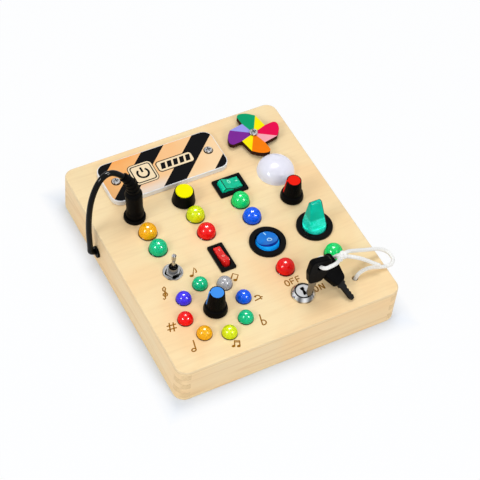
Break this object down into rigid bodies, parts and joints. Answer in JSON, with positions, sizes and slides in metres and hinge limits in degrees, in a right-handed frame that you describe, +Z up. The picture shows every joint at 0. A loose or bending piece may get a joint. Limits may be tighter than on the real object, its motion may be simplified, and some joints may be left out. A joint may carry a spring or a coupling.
{
  "type": "wooden busy board",
  "caption": "Shallow wooden play box with lamps, knobs, rocker and toggle switches, a key lock with keys on a string, a plug on a cord and a pinwheel.",
  "frame": {"origin": "middle of the underside of the base, in the plane that the board stands on", "axes": "+X to the right along the 160 mm front edge, +Y to the back along the 180 mm side, +Z up out of the play face"},
  "size_m": [0.1755, 0.18, 0.0813],
  "materials": {
    "face_plywood": "sanded, unpainted, brown engraved marks",
    "frame_wood": "sanded, unpainted",
    "base_plywood": "sanded, unpainted",
    "screw_steel": "zinc plated",
    "case_plastic": "fine texture",
    "cell_jacket": "gloss jacket",
    "contact_metal": "nickel plated",
    "circuit_green": "solder mask",
    "wire_plastic": "insulated wire",
    "sign_panel": "printed stripes on white-edged sheet, satin",
    "sign_screw_steel": "bright",
    "wheel_paint": "plywood with painted blades in several colours",
    "bush_brass": "turned",
    "dome_white": "frosted diffuser",
    "lamp_board": "white lamp board",
    "lamp_large": "clear-coloured caps, one colour each",
    "lamp_small": "clear-coloured caps, one colour each",
    "led_clear": "clear",
    "jack_plastic": "moulded",
    "plug_plastic": "satin moulded",
    "barrel_metal": "nickel plated",
    "cord_rubber": "satin black jacket",
    "grommet_rubber": "matt",
    "knob_yellow": "moulded, flared",
    "knob_yellow_cap": "bright disc",
    "knob_black": "fluted grip",
    "knob_red_cap": "cap and pointer",
    "knob_blue_cap": "cap and pointer",
    "shaft_steel": "turned",
    "control_metal": "stamped case",
    "selector_plastic": "moulded case",
    "nut_metal": "plated",
    "switch_black": "moulded",
    "rocker_green": "moulded, white marks",
    "rocker_red": "moulded, white marks",
    "rocker_blue": "moulded, white marks",
    "lever_teal": "moulded",
    "toggle_metal": "plated bushing",
    "toggle_nut_metal": "plated",
    "toggle_chrome": "polished",
    "lock_chrome": "polished",
    "core_metal": "faced",
    "key_plastic": "moulded head",
    "key_metal": "dark plated blade",
    "string_white": "white woven string"
  },
  "bodies": {
    "board": {"top_panel": "face_plywood", "frame_front": "frame_wood", "frame_back": "frame_wood", "frame_left": "frame_wood", "frame_right": "frame_wood", "bottom_panel": "base_plywood", "base_screws": "screw_steel", "battery_case": "case_plastic", "battery_cells": "cell_jacket", "battery_contacts": "contact_metal", "battery_cover": "case_plastic", "circuit_board": "circuit_green", "wiring": "wire_plastic", "sign_plate": "sign_panel", "sign_screws": "sign_screw_steel", "pinwheel_spacer": "bush_brass", "pinwheel_pin": "sign_screw_steel", "dome_lamp": "dome_white", "dome_lamp_board": "lamp_board", "large_lamp_caps": "lamp_large", "small_lamp_caps": "lamp_small", "lamp_leds": "led_clear", "jack_socket": "jack_plastic", "plug_cord": "cord_rubber", "cord_grommet": "grommet_rubber", "potentiometers": "control_metal", "selector_switch": "selector_plastic", "panel_nuts": "nut_metal", "green_switch_housing": "switch_black", "red_switch_housing": "switch_black", "blue_switch_housing": "switch_black", "teal_switch_housing": "switch_black", "toggle_body": "toggle_metal", "toggle_nut": "toggle_nut_metal", "lock_housing": "lock_chrome", "key_string": "string_white", "key_loop": "string_white", "key_string_knot": "string_white"},
    "pinwheel": {"pinwheel": "wheel_paint"},
    "yellow_knob_body": {"yellow_knob": "knob_yellow", "yellow_knob_cap": "knob_yellow_cap", "yellow_shaft": "shaft_steel"},
    "red_knob_body": {"red_knob": "knob_black", "red_knob_cap": "knob_red_cap", "red_shaft": "shaft_steel"},
    "blue_knob_body": {"blue_knob": "knob_black", "blue_knob_cap": "knob_blue_cap", "blue_shaft": "shaft_steel"},
    "plug": {"plug_body": "plug_plastic", "plug_barrel": "barrel_metal"},
    "green_rocker": {"green_switch_rocker": "rocker_green"},
    "red_rocker": {"red_switch_rocker": "rocker_red"},
    "blue_rocker": {"blue_switch_rocker": "rocker_blue"},
    "teal_lever": {"teal_switch_lever": "lever_teal"},
    "toggle": {"toggle_lever": "toggle_chrome"},
    "lock_core": {"lock_cylinder": "core_metal"},
    "key_one": {"key_one_head": "key_plastic", "key_one_blade": "key_metal"},
    "key_two": {"key_two_head": "key_plastic", "key_two_blade": "key_metal"}
  },
  "joints": [
    {"name": "pinwheel_spin", "type": "hinge", "parent": "board", "child": "pinwheel", "pos_m": [0.052, 0.065, 0.0338], "axis": [0, 0, 1], "continuous": true},
    {"name": "yellow_knob_turn", "type": "hinge", "parent": "board", "child": "yellow_knob_body", "pos_m": [-0.0162, 0.0348, 0.036], "axis": [0, 0, 1], "range_deg": [-150, 150]},
    {"name": "red_knob_turn", "type": "hinge", "parent": "board", "child": "red_knob_body", "pos_m": [0.0516, 0.0084, 0.038], "axis": [0, 0, 1], "range_deg": [-150, 150]},
    {"name": "blue_selector_turn", "type": "hinge", "parent": "board", "child": "blue_knob_body", "pos_m": [-0.0372, -0.0533, 0.038], "axis": [0, 0, 1], "continuous": true},
    {"name": "plug_pull", "type": "slide", "parent": "board", "child": "plug", "axis": [0, 0, 1], "range_m": [0, 0.012], "deforming": ["plug_cord"]},
    {"name": "green_rocker_tilt", "type": "hinge", "parent": "board", "child": "green_rocker", "pos_m": [0.0178, 0.0332, 0.0295], "axis": [0, -1, 0], "range_deg": [0, 25]},
    {"name": "red_rocker_tilt", "type": "hinge", "parent": "board", "child": "red_rocker", "pos_m": [-0.015, -0.0186, 0.0295], "axis": [1, 0, 0], "range_deg": [0, 25]},
    {"name": "blue_rocker_tilt", "type": "hinge", "parent": "board", "child": "blue_rocker", "pos_m": [0.0183, -0.0195, 0.0295], "axis": [1, 0, 0], "range_deg": [0, 25]},
    {"name": "teal_lever_tilt", "type": "hinge", "parent": "board", "child": "teal_lever", "pos_m": [0.0532, -0.0202, 0.0295], "axis": [1, 0, 0], "range_deg": [0, 18]},
    {"name": "toggle_tilt", "type": "hinge", "parent": "board", "child": "toggle", "pos_m": [-0.0489, -0.016, 0.0334], "axis": [1, 0, 0], "range_deg": [-12, 12]},
    {"name": "lock_turn", "type": "hinge", "parent": "board", "child": "lock_core", "pos_m": [0.0197, -0.0656, 0.03], "axis": [0, 0, 1], "range_deg": [-90, 0]},
    {"name": "key_one_swing", "type": "hinge", "parent": "board", "child": "key_one", "pos_m": [0.02565, -0.06905, 0.06092], "axis": [0, -0.9987, 0.0502], "range_deg": [-60, 0]},
    {"name": "key_two_swing", "type": "hinge", "parent": "board", "child": "key_two", "pos_m": [0.03698, -0.06224, 0.04611], "axis": [0.3518, -0.4328, 0.83], "range_deg": [-25, 25]}
  ]
}
